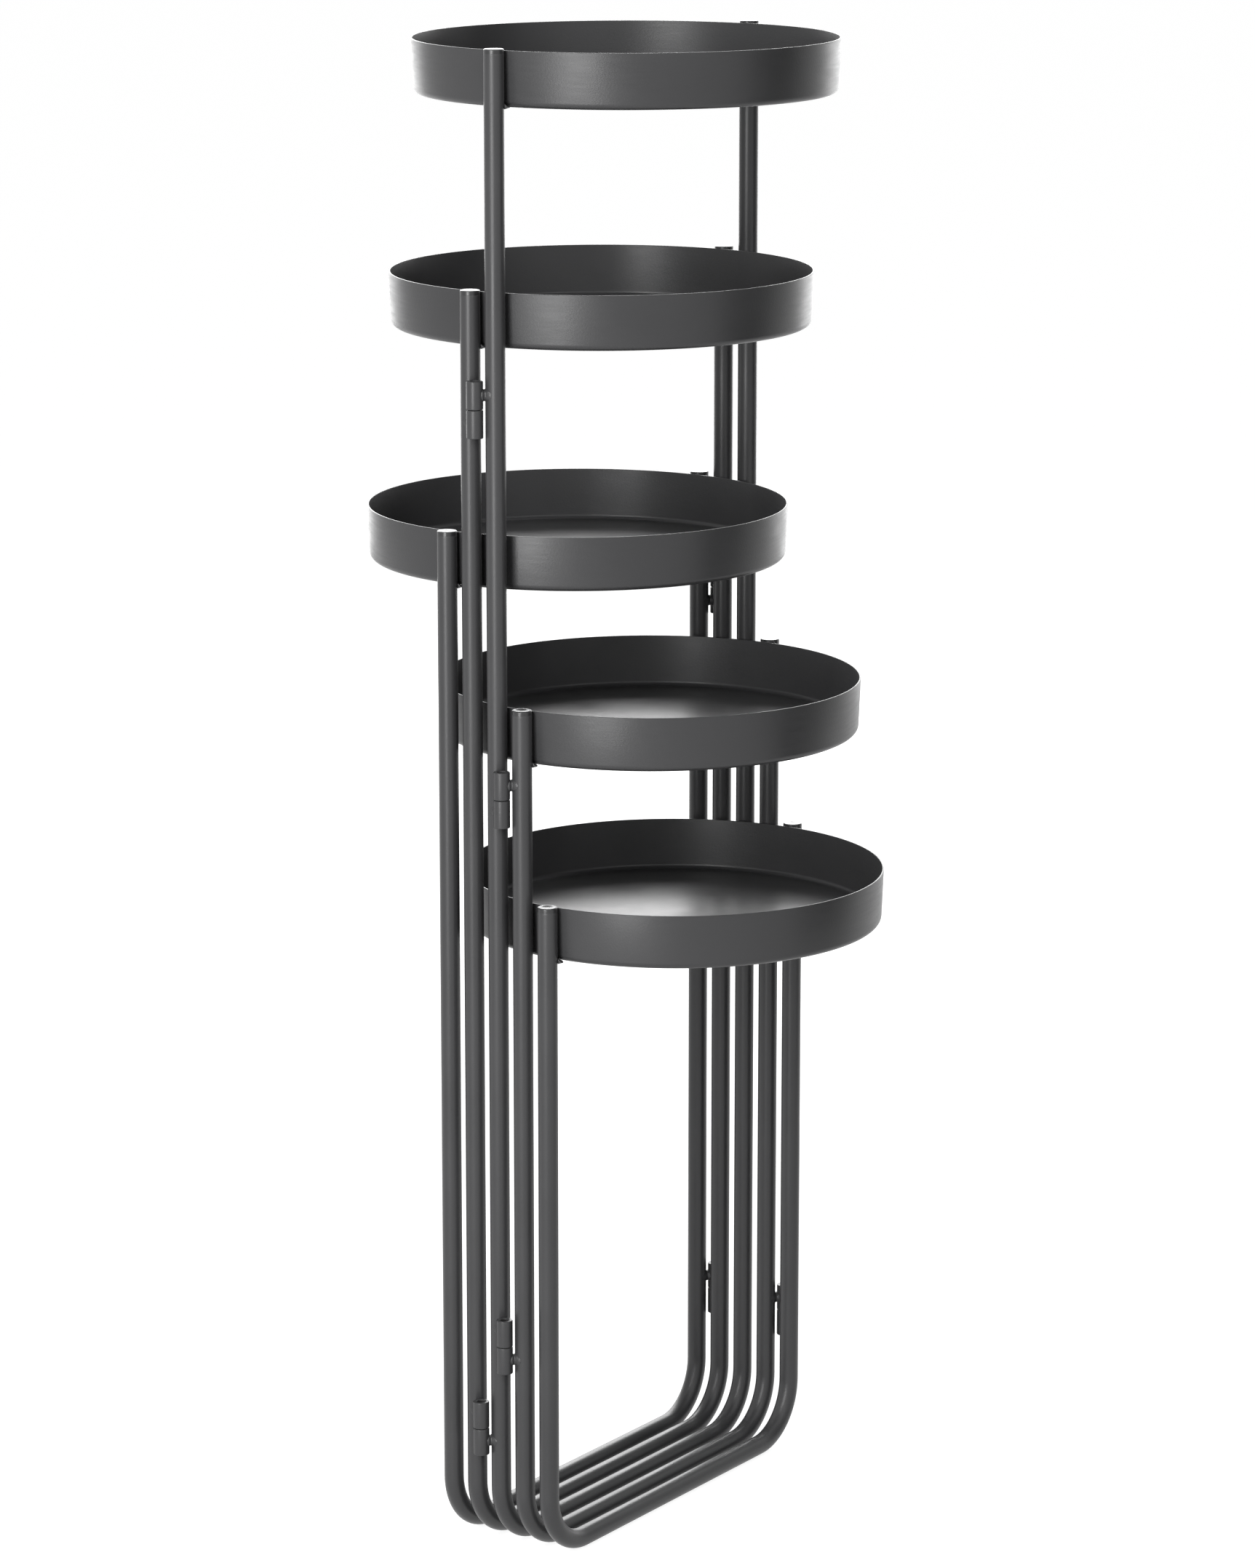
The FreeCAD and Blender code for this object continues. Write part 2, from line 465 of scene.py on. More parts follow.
def lathe(name: str, profile: list[Pair], axis: Pair, segments: int) -> bpy.types.Mesh:
    """Turn a profile round a vertical axis into a closed solid.

    Args:
        name: Name of the mesh.
        profile: Distance from the axis and height of each point, in metres.  A profile that
            starts and ends on the axis gets a pole at both ends; any other is closed on itself.
        axis: X and Y of the axis.
        segments: Steps round the axis.

    Returns:
        The new mesh, smooth except at sharp edges.
    """
    shape = bmesh.new()
    poles = profile[0][0] < ON_AXIS and profile[-1][0] < ON_AXIS
    angles = [math.tau * i / segments for i in range(segments)]
    rings = []
    for radius, height in profile:
        if radius < ON_AXIS:
            rings.append([shape.verts.new((*axis, height))])
            continue
        rings.append(
            [
                shape.verts.new(
                    (axis[0] + radius * math.cos(a), axis[1] + radius * math.sin(a), height)
                )
                for a in angles
            ]
        )
    pairs = list(zip(rings, rings[1:]))
    if not poles:
        pairs.append((rings[-1], rings[0]))
    for low, high in pairs:
        for i in range(segments):
            j = (i + 1) % segments
            corners = [low[i % len(low)], low[j % len(low)], high[j % len(high)], high[i % len(high)]]
            shape.faces.new(list(dict.fromkeys(corners)))
    bmesh.ops.recalc_face_normals(shape, faces=shape.faces)
    mesh = bpy.data.meshes.new(name)
    shape.to_mesh(mesh)
    shape.free()
    smooth(mesh)
    return mesh


def middle(node: str) -> Vector:
    """Centre of a CAD node's box."""
    low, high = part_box(node)
    return (low + high) / 2


def turn_piece(
    name: str, node: str, profile: list[Pair], segments: int, material: bpy.types.Material
) -> bpy.types.Object:
    """Turn a piece round the middle of the CAD node that it stands for.

    Args:
        name: Name of the piece.
        node: CAD node.
        profile: Outline, as lathe takes it.
        segments: Steps round the axis.
        material: Its one material.

    Returns:
        The piece.
    """
    centre = middle(node)
    mesh = lathe(name, profile, (centre.x, centre.y), segments)
    mesh.materials.append(material)
    return link_object(name, mesh)


def bake_modifiers(name: str, source: bpy.types.Object) -> bpy.types.Object:
    """Turn an object with live modifiers into a plain mesh object.

    Args:
        name: Name of the finished object.
        source: Object with modifiers, which is removed.

    Returns:
        The finished object without modifiers.
    """
    depsgraph = bpy.context.evaluated_depsgraph_get()
    mesh = bpy.data.meshes.new_from_object(source.evaluated_get(depsgraph))
    source.modifiers.clear()
    bpy.data.objects.remove(source)
    smooth(mesh)
    mesh.name = name
    return link_object(name, mesh)


def set_inputs(modifier: bpy.types.NodesModifier, values: dict[str, Any]) -> None:
    """Give a Geometry Nodes modifier its inputs by their sockets' identifiers.

    Args:
        modifier: Modifier whose tree is already set.
        values: Value by input name.
    """
    sockets = {
        item.name: item.identifier
        for item in modifier.node_group.interface.items_tree
        if item.item_type == "SOCKET" and item.in_out == "INPUT"
    }
    for name, value in values.items():
        modifier[sockets[name]] = value


def new_tree(name: str, inputs: dict[str, str]) -> tuple[bpy.types.NodeTree, Any]:
    """Start a Geometry Nodes tree with named inputs.

    Args:
        name: Name of the tree.
        inputs: Socket type by input name, after the geometry.

    Returns:
        The tree and the outputs of its input node.
    """
    tree = bpy.data.node_groups.new(name, "GeometryNodeTree")
    tree.interface.new_socket("Geometry", in_out="INPUT", socket_type="NodeSocketGeometry")
    for label, kind in inputs.items():
        tree.interface.new_socket(label, in_out="INPUT", socket_type=kind)
    tree.interface.new_socket("Geometry", in_out="OUTPUT", socket_type="NodeSocketGeometry")
    return tree, add_node(tree, "NodeGroupInput").outputs


def end_tree(
    tree: bpy.types.NodeTree, geometry: bpy.types.NodeSocket, material: bpy.types.NodeSocket
) -> None:
    """Finish a tree with real geometry that carries its material.

    Args:
        tree: The tree.
        geometry: Output socket of the last shaping node.
        material: Output socket that holds the material.
    """
    real = add_node(tree, "GeometryNodeRealizeInstances", {"Geometry": geometry})
    dressed = add_node(
        tree,
        "GeometryNodeSetMaterial",
        {"Geometry": real.outputs["Geometry"], "Material": material},
    )
    add_node(tree, "NodeGroupOutput", {"Geometry": dressed.outputs["Geometry"]})


def seat(piece: bpy.types.Object, node: str, body: str) -> bpy.types.Object:
    """Let a finished piece stand for a CAD node and ride on its body.

    Args:
        piece: Finished piece.
        node: CAD node that it stands for.
        body: Body that carries it.

    Returns:
        The piece.
    """
    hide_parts(node)
    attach(piece, body)
    log.info("%s on %s: %d faces", piece.name, body, len(piece.data.polygons))
    return piece


# ---------------------------------------------------------------- bent tubes


@dataclass
class BentTubes:
    """The U-shaped frames: one round tube each, bent twice at the floor.

    Lengths are in millimetres.  The outer edge of each open end is eased over mouth_height by
    mouth_width, and a ring mouth_support down keeps the easing from shading the upright.
    """

    material: bpy.types.Material
    diameter: float = 12.0
    wall: float = 1.2
    bend_radius: float = 36.0
    mouth_width: float = 0.12
    mouth_height: float = 0.25
    mouth_support: float = 1.2
    segments_round: int = 64
    segments_in_bend: int = 20
    merge: float = 0.02
    tree: bpy.types.NodeTree = field(init=False)

    def __post_init__(self) -> None:
        """Build the tree once for all five frames."""
        self.tree = self.sweep_tree()

    def sweep_tree(self) -> bpy.types.NodeTree:
        """Build the tree that sweeps a hollow tube along a U-shaped path.

        Returns:
            The tree.
        """
        tree, given = new_tree(
            "bent tube",
            {
                "Place Across": "NodeSocketFloat",
                "Half Width": "NodeSocketFloat",
                "Top": "NodeSocketFloat",
                "Tube Radius": "NodeSocketFloat",
                "Bore Radius": "NodeSocketFloat",
                "Bend Radius": "NodeSocketFloat",
                "Segments Round": "NodeSocketInt",
                "Segments In Bend": "NodeSocketInt",
                "Material": "NodeSocketMaterial",
            },
        )
        minus = add_node(
            tree, "ShaderNodeMath", {0: given["Half Width"], 1: -1.0}, operation="MULTIPLY"
        )
        front, back = minus.outputs[0], given["Half Width"]
        corners = [
            add_node(
                tree, "ShaderNodeCombineXYZ", {"X": given["Place Across"], "Y": y, "Z": z}
            ).outputs["Vector"]
            for y, z in (
                (front, given["Top"]),
                (front, given["Tube Radius"]),
                (back, given["Tube Radius"]),
                (back, given["Top"]),
            )
        ]
        loop = add_node(
            tree,
            "GeometryNodeCurvePrimitiveQuadrilateral",
            {f"Point {i + 1}": corner for i, corner in enumerate(corners)},
            mode="POINTS",
        )
        path = add_node(
            tree, "GeometryNodeSetSplineCyclic", {"Geometry": loop.outputs["Curve"], "Cyclic": False}
        )
        bent = add_node(
            tree,
            "GeometryNodeFilletCurve",
            {
                "Curve": path.outputs["Geometry"],
                "Radius": given["Bend Radius"],
                "Count": given["Segments In Bend"],
            },
            mode="POLY",
        )
        skins = []
        for radius in (given["Tube Radius"], given["Bore Radius"]):
            ring = add_node(
                tree,
                "GeometryNodeCurvePrimitiveCircle",
                {"Resolution": given["Segments Round"], "Radius": radius},
            )
            skin = add_node(
                tree,
                "GeometryNodeCurveToMesh",
                {"Curve": bent.outputs["Curve"], "Profile Curve": ring.outputs["Curve"]},
            )
            skins.append(skin.outputs["Mesh"])
        bore = add_node(tree, "GeometryNodeFlipFaces", {"Mesh": skins[1]})
        neighbours = add_node(tree, "GeometryNodeInputMeshEdgeNeighbors")
        open_edge = add_node(
            tree,
            "FunctionNodeCompare",
            {"A": neighbours.outputs["Face Count"], "B": 1},
            data_type="INT",
            operation="EQUAL",
        )
        lip = add_node(
            tree,
            "GeometryNodeExtrudeMesh",
            {"Mesh": skins[0], "Selection": open_edge.outputs["Result"], "Offset Scale": 0.0},
            mode="EDGES",
        )
        share = add_node(
            tree,
            "ShaderNodeMath",
            {0: given["Bore Radius"], 1: given["Tube Radius"]},
            operation="DIVIDE",
        )
        end_ring = add_node(
            tree,
            "GeometryNodeScaleElements",
            {
                "Geometry": lip.outputs["Mesh"],
                "Selection": lip.outputs["Top"],
                "Scale": share.outputs[0],
            },
            domain="EDGE",
        )
        joined = add_node(tree, "GeometryNodeJoinGeometry")
        tree.links.new(end_ring.outputs["Geometry"], joined.inputs["Geometry"])
        tree.links.new(bore.outputs["Mesh"], joined.inputs["Geometry"])
        welded = add_node(
            tree,
            "GeometryNodeMergeByDistance",
            {"Geometry": joined.outputs["Geometry"], "Distance": self.merge * MM},
        )
        end_tree(tree, welded.outputs["Geometry"], given["Material"])
        return tree

    def build(self, which: Frame) -> bpy.types.Object:
        """Bend one frame's tube.

        Args:
            which: The frame.

        Returns:
            The finished piece.
        """
        node = f"tube_frame_{which.value}"
        low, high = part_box(node)
        radius = self.diameter / 2 * MM
        across, half_width = (low.x + high.x) / 2, (high.y - low.y) / 2 - radius
        seed = link_object("path", bpy.data.meshes.new("path"))
        sweep = seed.modifiers.new("sweep", "NODES")
        sweep.node_group = self.tree
        set_inputs(
            sweep,
            {
                "Place Across": across,
                "Half Width": half_width,
                "Top": high.z,
                "Tube Radius": radius,
                "Bore Radius": radius - self.wall * MM,
                "Bend Radius": self.bend_radius * MM,
                "Segments Round": self.segments_round,
                "Segments In Bend": self.segments_in_bend,
                "Material": self.material,
            },
        )
        piece = bake_modifiers(f"bent_tube_{which.value}", seed)
        self.ease_mouths(piece.data, across, half_width, high.z)
        return seat(piece, node, which.body)

    def ease_mouths(
        self, mesh: bpy.types.Mesh, across: float, half_width: float, top: float
    ) -> None:
        """Ease the outer edge of both open ends.

        Args:
            mesh: Mesh of the bent tube.
            across: X of the frame.
            half_width: Distance from the middle of the frame to an upright's axis.
            top: Height of the ends.
        """
        shape = bmesh.new()
        shape.from_mesh(mesh)
        for depth in (self.mouth_support, self.mouth_height):
            bmesh.ops.bisect_plane(
                shape,
                geom=[*shape.verts, *shape.edges, *shape.faces],
                plane_co=(0.0, 0.0, top - depth * MM),
                plane_no=(0.0, 0.0, 1.0),
            )
        between = (self.diameter - self.wall) / 2 * MM
        for vertex in shape.verts:
            axis = Vector((across, math.copysign(half_width, vertex.co.y), vertex.co.z))
            out = vertex.co - axis
            if vertex.co.z > top - self.mouth_height / 2 * MM and out.length > between:
                vertex.co -= out.normalized() * self.mouth_width * MM
        shape.to_mesh(mesh)
        shape.free()
        smooth(mesh)


# ---------------------------------------------------------------- pressed trays


@dataclass
class Trays:
    """Round trays, deep-drawn from thin sheet with a rounded rim edge.

    Lengths are in millimetres.  The floor's rings are shares of its flat radius.
    """

    material: bpy.types.Material
    sheet: float = 1.0
    draft: float = 1.3
    corner_radius: float = 4.0
    rim_round: float = 0.35
    floor_rings: tuple[float, ...] = (0.15, 0.4, 0.7, 0.9)
    inner_steps: int = 10
    outer_steps: int = 12
    rim_steps: int = 5
    segments: int = 224

    def profile(self, radius: float, underside: float, rim: float) -> list[Pair]:
        """Outline of the sheet from the middle of its inside to the middle of its underside.

        Args:
            radius: Outside radius at the rim, in metres.
            underside: Height of the underside.
            rim: Height of the rim.

        Returns:
            Points of the closed outline.
        """
        sheet, corner, edge = self.sheet * MM, self.corner_radius * MM, self.rim_round * MM
        lean = math.atan2(self.draft * MM, rim - underside)
        degrees = math.degrees(lean)
        foot = radius - self.draft * MM
        reach = corner / math.tan(math.radians(90 - degrees) / 2 + math.radians(degrees))
        centre = foot - reach
        middle_of_bend = (centre, underside + corner)
        inner = arc(middle_of_bend, corner - sheet, -90, -degrees, self.inner_steps)
        outer = arc(middle_of_bend, corner, -degrees, -90, self.outer_steps)
        inside = radius - sheet / math.cos(lean)
        floor_rings = [share * inner[0][0] for share in self.floor_rings]
        return [
            (0.0, underside + sheet),
            *((ring, underside + sheet) for ring in floor_rings),
            *inner,
            *arc((inside + edge, rim - edge), edge, 180, 90, self.rim_steps),
            *arc((radius - edge, rim - edge), edge, 90, 0, self.rim_steps),
            *outer,
            *((ring, underside) for ring in reversed(floor_rings)),
            (0.0, underside),
        ]

    def build(self, which: Frame) -> bpy.types.Object:
        """Press one frame's tray.

        Args:
            which: The frame.

        Returns:
            The finished piece.
        """
        node = f"tray_{which.value}"
        low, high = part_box(node)
        outline = self.profile((high.y - low.y) / 2, low.z, high.z)
        name = f"pressed_tray_{which.value}"
        piece = turn_piece(name, node, outline, self.segments, self.material)
        return seat(piece, node, which.body)


# ---------------------------------------------------------------- plug caps


@dataclass
class PlugCaps:
    """Push-in caps with a rounded head, a shallow dish and a plain stem, in millimetres."""

    material: bpy.types.Material
    head: float = 2.6
    edge_round: float = 0.8
    dish_radius: float = 4.0
    dish_depth: float = 0.5
    stem_radius: float = 4.75
    stem_lead: float = 0.8
    edge_steps: int = 10
    dish_steps: int = 5
    segments: int = 56

    def build(self, which: Frame, side: Side) -> bpy.types.Object:
        """Mould one cap.

        Args:
            which: The frame.
            side: Which upright.

        Returns:
            The finished piece.
        """
        node = f"plug_cap_{which.value}_{side.value}"
        low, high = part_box(node)
        radius = (high.x - low.x) / 2
        top, foot = high.z, high.z - self.head * MM
        stem, lead = self.stem_radius * MM, self.stem_lead * MM
        edge, dish, depth = self.edge_round * MM, self.dish_radius * MM, self.dish_depth * MM
        shares = [1 - i / self.dish_steps for i in range(self.dish_steps + 1)]
        outline = [
            (0.0, low.z),
            (stem - lead, low.z),
            (stem, low.z + lead),
            (stem, foot),
            (radius, foot),
            *arc((radius - edge, top - edge), edge, 0, 90, self.edge_steps),
            *((dish * share, top - depth * (1 - share**2)) for share in shares),
        ]
        name = f"plug_{which.value}_{side.value}"
        piece = turn_piece(name, node, outline, self.segments, self.material)
        return seat(piece, node, which.body)


# ---------------------------------------------------------------- barrel hinges


@dataclass
class BarrelHinges:
    """Weld-on barrel hinges: two bored knuckles on one pin, in millimetres."""

    coat: bpy.types.Material
    steel: bpy.types.Material
    edge: float = 0.6
    bore_edge: float = 0.35
    pin_edge: float = 0.5
    running_bore: float = 2.55
    pressed_bore: float = 2.5
    edge_steps: int = 6
    segments: int = 56

    def knuckle(self, node: str, body: str, bore: float) -> bpy.types.Object:
        """Turn one knuckle, with rounded ends and a broken bore.

        Args:
            node: CAD node of the knuckle.
            body: Body that carries it.
            bore: Radius of its bore in millimetres.

        Returns:
            The finished piece.
        """
        low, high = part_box(node)
        radius, edge = (high.x - low.x) / 2, self.edge * MM
        hole, lip = bore * MM, self.bore_edge * MM
        outline = [
            (hole, low.z + lip),
            (hole + lip, low.z),
            *arc((radius - edge, low.z + edge), edge, -90, 0, self.edge_steps),
            *arc((radius - edge, high.z - edge), edge, 0, 90, self.edge_steps),
            (hole + lip, high.z),
            (hole, high.z - lip),
        ]
        name = node.replace("hinge_", "barrel_")
        piece = turn_piece(name, node, outline, self.segments, self.coat)
        return seat(piece, node, body)

    def pin(self, node: str, body: str) -> bpy.types.Object:
        """Turn one hinge pin with chamfered ends.

        Args:
            node: CAD node of the pin.
            body: Body that carries it.

        Returns:
            The finished piece.
        """
        low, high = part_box(node)
        radius, edge = (high.x - low.x) / 2, self.pin_edge * MM
        outline = [
            (0.0, low.z),
            (radius - edge, low.z),
            (radius, low.z + edge),
            (radius, high.z - edge),
            (radius - edge, high.z),
            (0.0, high.z),
        ]
        name = node.replace("hinge_", "barrel_")
        piece = turn_piece(name, node, outline, self.segments, self.steel)
        return seat(piece, node, body)

    def build(self, bodies: dict[str, list[str]]) -> list[bpy.types.Object]:
        """Make the pieces of all the hinges.

        Args:
            bodies: Names of the CAD nodes by body.

        Returns:
            The finished pieces.
        """
        made = []
        for body, nodes in bodies.items():
            for node in nodes:
                if node.endswith("_upper_knuckle"):
                    made.append(self.knuckle(node, body, self.running_bore))
                elif node.endswith("_lower_knuckle"):
                    made.append(self.knuckle(node, body, self.pressed_bore))
                elif node.endswith("_pin"):
                    made.append(self.pin(node, body))
        return made


# ---------------------------------------------------------------- weld beads


@dataclass
class WeldBeads:
    """Beads that carry the knuckles and the trays: lumpy metal under the powder coat.

    Lengths are in millimetres.  A hinge bead runs out to both sides onto its tube and its
    knuckle as a row of overlapping balls, the shoulder, which thins by shoulder_fade towards its
    ends at tube_shoulder or knuckle_shoulder degrees.  One skin is then drawn over the lot.
    """

    material: bpy.types.Material
    voxel: float = 0.26
    lump_spacing: float = 2.4
    lump_height: float = 0.22
    relaxing: int = 16
    merge: float = 0.001
    tube_radius: float = 6.0
    knuckle_radius: float = 5.0
    tube_shoulder: float = 56.0
    knuckle_shoulder: float = 34.0
    shoulder_balls: int = 9
    ball_subdivisions: int = 3
    shoulder_fade: float = 0.42
    shoulder_depth: float = 1.0
    shoulder_thickness: float = 2.1
    shoulder_height: float = 4.4
    tail_share: float = 0.4
    tree: bpy.types.NodeTree = field(init=False)

    def __post_init__(self) -> None:
        """Build the tree once for all the beads."""
        self.tree = self.lump_tree()

    def lump_tree(self) -> bpy.types.NodeTree:
        """Build the tree that swells a bead's skin into soft lumps.

        Returns:
            The tree.
        """
        tree, given = new_tree(
            "weld lumps",
            {
                "Lump Scale": "NodeSocketFloat",
                "Lump Height": "NodeSocketFloat",
                "Relaxing": "NodeSocketInt",
                "Seed": "NodeSocketFloat",
                "Material": "NodeSocketMaterial",
            },
        )
        relaxed = add_node(
            tree,
            "GeometryNodeBlurAttribute",
            {
                "Value": add_node(tree, "GeometryNodeInputPosition").outputs[0],
                "Iterations": given["Relaxing"],
            },
            data_type="FLOAT_VECTOR",
        )
        calm = add_node(
            tree,
            "GeometryNodeSetPosition",
            {"Geometry": given["Geometry"], "Position": relaxed.outputs["Value"]},
        )
        lumps = add_node(
            tree,
            "ShaderNodeTexNoise",
            {"W": given["Seed"], "Scale": given["Lump Scale"], "Detail": 1.0},
            noise_dimensions="4D",
        )
        centred = add_node(
            tree, "ShaderNodeMath", {0: lumps.outputs["Fac"], 1: 0.5}, operation="SUBTRACT"
        )
        swell = add_node(
            tree,
            "ShaderNodeMath",
            {0: centred.outputs[0], 1: given["Lump Height"]},
            operation="MULTIPLY",
        )
        along = add_node(
            tree,
            "ShaderNodeVectorMath",
            {0: add_node(tree, "GeometryNodeInputNormal").outputs[0], "Scale": swell.outputs[0]},
            operation="SCALE",
        )
        swollen = add_node(
            tree,
            "GeometryNodeSetPosition",
            {"Geometry": calm.outputs["Geometry"], "Offset": along.outputs["Vector"]},
        )
        end_tree(tree, swollen.outputs["Geometry"], given["Material"])
        return tree

    def necks(self, shape: bmesh.types.BMesh) -> list[Vector]:
        """Middles of the separate lumps of a mesh.

        Args:
            shape: Mesh of one frame's welds, its doubles merged.

        Returns:
            One point for each lump, in the order of the mesh.
        """
        left, found = set(shape.verts), []
        for first in shape.verts:
            if first not in left:
                continue
            left.remove(first)
            front, lump = [first], [first]
            while front:
                near = {edge.other_vert(v) for v in front for edge in v.link_edges} & left
                left -= near
                front = list(near)
                lump += front
            low = Vector(min(v.co[i] for v in lump) for i in range(3))
            high = Vector(max(v.co[i] for v in lump) for i in range(3))
            found.append((low + high) / 2)
        return found

    def shoulder(
        self, shape: bmesh.types.BMesh, axis: Pair, radius: float, spread: float, neck: Vector
    ) -> None:
        """Lay the bead that runs out from a neck onto a round tube or knuckle.

        Args:
            shape: Mesh that the bead is added to.
            axis: X and Y of the round's axis.
            radius: Radius of the round, in millimetres.
            spread: How far the bead runs round to each side, in degrees.
            neck: Middle of the neck.
        """
        toward = math.atan2(neck.y - axis[1], neck.x - axis[0])
        reach = (radius - self.shoulder_depth) * MM
        for i in range(self.shoulder_balls):
            share = 2 * i / (self.shoulder_balls - 1) - 1
            fade = 1 - self.shoulder_fade * share**2
            thick, height = self.shoulder_thickness * fade * MM, self.shoulder_height * fade * MM
            angle = toward + math.radians(spread * share)
            place = Vector(
                (axis[0] + reach * math.cos(angle), axis[1] + reach * math.sin(angle), neck.z)
            )
            bmesh.ops.create_icosphere(
                shape,
                subdivisions=self.ball_subdivisions,
                radius=1.0,
                matrix=Matrix.Translation(place) @ Matrix.Diagonal((thick, thick, height, 1.0)),
            )

    def add_shoulders(self, shape: bmesh.types.BMesh, which: Frame) -> None:
        """Run every neck of one frame out onto its upright and its knuckle.

        Args:
            shape: Mesh of the frame's hinge welds, its doubles merged.
            which: The frame.
        """
        low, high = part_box(f"tube_frame_{which.value}")
        across = (low.x + high.x) / 2
        nodes = frame["record"]["behaviour"]["bodies"][which.body]
        knuckles = [middle(node) for node in nodes if node.endswith("_knuckle")]
        for neck in self.necks(shape):
            upright = low.y if neck.y < 0 else high.y
            inward = 1 if neck.y < 0 else -1
            axis = (across, upright + inward * self.tube_radius * MM)
            self.shoulder(shape, axis, self.tube_radius, self.tube_shoulder, neck)
            knuckle = min(knuckles, key=lambda centre: (centre - neck).length)
            axis = (knuckle.x, knuckle.y)
            self.shoulder(shape, axis, self.knuckle_radius, self.knuckle_shoulder, neck)

    def shorten_tails(self, shape: bmesh.types.BMesh, underside: float) -> None:
        """Draw up what hangs below a tray, so that a bead ends round, not in a fin.

        Args:
            shape: Mesh of the frame's tray welds.
            underside: Height of the tray's underside.
        """
        for vertex in shape.verts:
            if vertex.co.z < underside:
                vertex.co.z = underside + self.tail_share * (vertex.co.z - underside)

    def build(self, which: Frame, kind: Weld) -> bpy.types.Object:
        """Lay the beads of one kind on one frame.

        Args:
            which: The frame.
            kind: What the beads carry.

        Returns:
            The finished piece.
        """
        node = f"{kind.value}_{which.value}"
        mesh = frame["nodes"][node].data.copy()
        shape = bmesh.new()
        shape.from_mesh(mesh)
        bmesh.ops.remove_doubles(shape, verts=shape.verts, dist=self.merge * MM)
        if kind is Weld.HINGE:
            self.add_shoulders(shape, which)
        else:
            self.shorten_tails(shape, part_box(f"tray_{which.value}")[0].z)
        shape.to_mesh(mesh)
        shape.free()
        raw = link_object("raw bead", mesh)
        remesh = raw.modifiers.new("even skin", "REMESH")
        remesh.mode = "VOXEL"
        remesh.voxel_size = self.voxel * MM
        lumps = raw.modifiers.new("lumps", "NODES")
        lumps.node_group = self.tree
        set_inputs(
            lumps,
            {
                "Lump Scale": per_metre(self.lump_spacing),
                "Lump Height": 2 * self.lump_height * MM,  # centred noise runs from -0.5 to 0.5
                "Relaxing": self.relaxing,
                "Seed": float(list(Frame).index(which)),
                "Material": self.material,
            },
        )
        piece = bake_modifiers(node.replace("welds", "beads"), raw)
        return seat(piece, node, which.body)


# ---------------------------------------------------------------- studio


def bearing(azimuth: float, elevation: float = 0.0) -> Vector:
    """Direction from the stand.

    Args:
        azimuth: Degrees round the stand, from straight in front towards the right.
        elevation: Degrees above the horizon.

    Returns:
        The direction, with a length of one.
    """
    a, e = math.radians(azimuth), math.radians(elevation)
    return Vector((math.sin(a) * math.cos(e), -math.cos(a) * math.cos(e), math.sin(e)))


@dataclass(frozen=True)
class Softbox:
    """Soft lamp that faces the stand: bearing in degrees, distance and size in metres."""

    name: str
    azimuth: float
    elevation: float
    distance: float
    size: Pair
    watts: float

    def hang(self, aim: Vector) -> None:
        """Hang the lamp.

        Args:
            aim: Point that it faces and that its distance is measured from.
        """
        data = bpy.data.lights.new(self.name, "AREA")
        data.shape, data.size, data.size_y, data.energy = "RECTANGLE", *self.size, self.watts
        lamp = link_object(self.name, data)
        away = bearing(self.azimuth, self.elevation)
        lamp.location = aim + away * self.distance
        lamp.rotation_euler = away.to_track_quat("Z", "Y").to_euler()
        lamp.visible_camera = False


